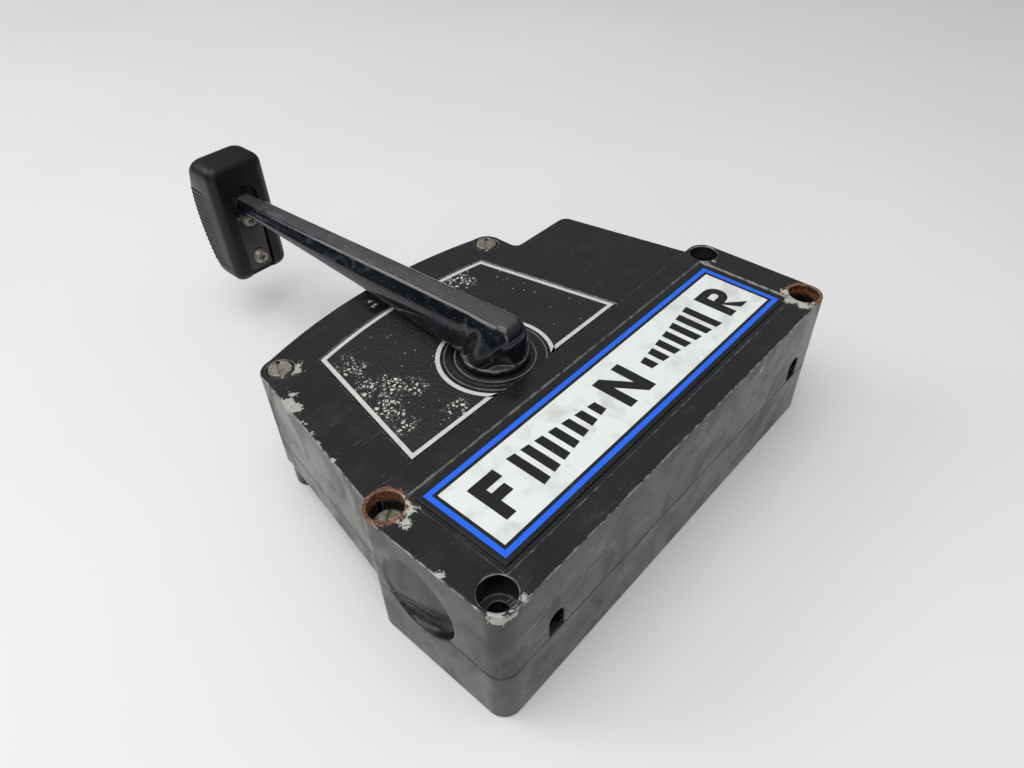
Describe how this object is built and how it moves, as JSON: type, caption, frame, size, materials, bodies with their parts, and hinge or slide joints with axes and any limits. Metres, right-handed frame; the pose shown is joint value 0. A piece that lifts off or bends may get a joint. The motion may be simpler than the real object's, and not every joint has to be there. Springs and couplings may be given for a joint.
{
  "type": "single-lever marine engine control box",
  "caption": "Side-mount control box for a boat engine: one pivoting handle works throttle and gear shift through a crank and a toothed sector.",
  "frame": {"origin": "where the handle shaft's axis meets the mounting plane, at the middle of the round foot under the shaft", "axes": "+X along the nameplate towards the cable ports, +Y from the nameplate towards the grip, +Z out of the front face, away from the mounting surface"},
  "size_m": [0.2465, 0.3306, 0.1078],
  "materials": {
    "black_enamel": "satin black baked enamel on a cast housing, chipped and scratched at the edges",
    "nameplate_enamel": "printed white panel with a blue line round it, on a black plate",
    "grained_vinyl": "black leather-grained vinyl with a silver line round its edge, worn",
    "black_plastic": "black moulded ring plate",
    "gloss_enamel": "glossy black enamel, smudged, worn silver along the edges",
    "grip_plastic": "ribbed black moulded grip",
    "plated_screw": "dull nickel plating",
    "ground_steel": "ground steel",
    "spring_steel": "dark spring steel",
    "gear_steel": "machined steel with grease",
    "bronze": "sintered bronze",
    "black_rubber": "black rubber",
    "cast_aluminium": "bare die casting",
    "switch_plastic": "moulded switch plastic",
    "brass_terminal": "brass strip"
  },
  "bodies": {
    "housing": {"rear_housing": "black_enamel", "front_housing": "black_enamel", "nameplate": "nameplate_enamel", "trim_panel": "grained_vinyl", "hub_plate": "black_plastic", "front_bush": "bronze", "rear_bush": "bronze", "shaft_seal": "black_rubber", "hump_case_screws": "plated_screw", "bar_case_screws": "plated_screw", "dowel_pins": "ground_steel", "cable_grommets": "black_rubber", "cable_clamp": "cast_aluminium", "clamp_screws": "plated_screw", "sector_stud": "ground_steel", "sector_clip": "spring_steel", "switch_body": "switch_plastic", "switch_terminals": "brass_terminal", "switch_screws": "plated_screw", "detent_spring": "spring_steel"},
    "handle": {"handle_arm": "gloss_enamel", "grip": "grip_plastic", "grip_screws": "plated_screw", "handle_shaft": "ground_steel", "handle_set_screw": "spring_steel", "drive_gear": "gear_steel", "throttle_crank": "gear_steel", "shaft_key": "ground_steel", "spacer_washer": "plated_screw", "thrust_washer": "bronze", "lower_washer": "plated_screw", "retaining_ring": "spring_steel", "throttle_pin": "ground_steel", "throttle_pin_clip": "spring_steel"},
    "shift": {"shift_sector": "gear_steel", "sector_bush": "bronze", "shift_pin": "ground_steel", "shift_pin_clip": "spring_steel"},
    "plunger": {"switch_plunger": "switch_plastic"},
    "detent": {"detent_ball": "ground_steel"}
  },
  "joints": [
    {"name": "handle_turn", "type": "hinge", "parent": "housing", "child": "handle", "pos_m": [0, 0, 0.05], "axis": [0, 0, 1], "range_deg": [-70, 90]},
    {"name": "shift_turn", "type": "hinge", "parent": "housing", "child": "shift", "pos_m": [0.03818, -0.03818, 0.0375], "axis": [0, 0, 1], "range_deg": [-45, 35]},
    {"name": "switch_press", "type": "slide", "parent": "housing", "child": "plunger", "axis": [-1, 0, 0], "range_m": [0, 0.001], "stiffness_N_per_m": 300, "springref_m": -0.003},
    {"name": "detent_press", "type": "slide", "parent": "housing", "child": "detent", "axis": [0, 0, 1], "range_m": [-0.0015, 0], "stiffness_N_per_m": 2000, "springref_m": 0.002, "deforming": ["detent_spring"]}
  ],
  "couplings": [
    {"joint": "shift_turn", "follows": "handle_turn", "ratio": -0.5}
  ]
}
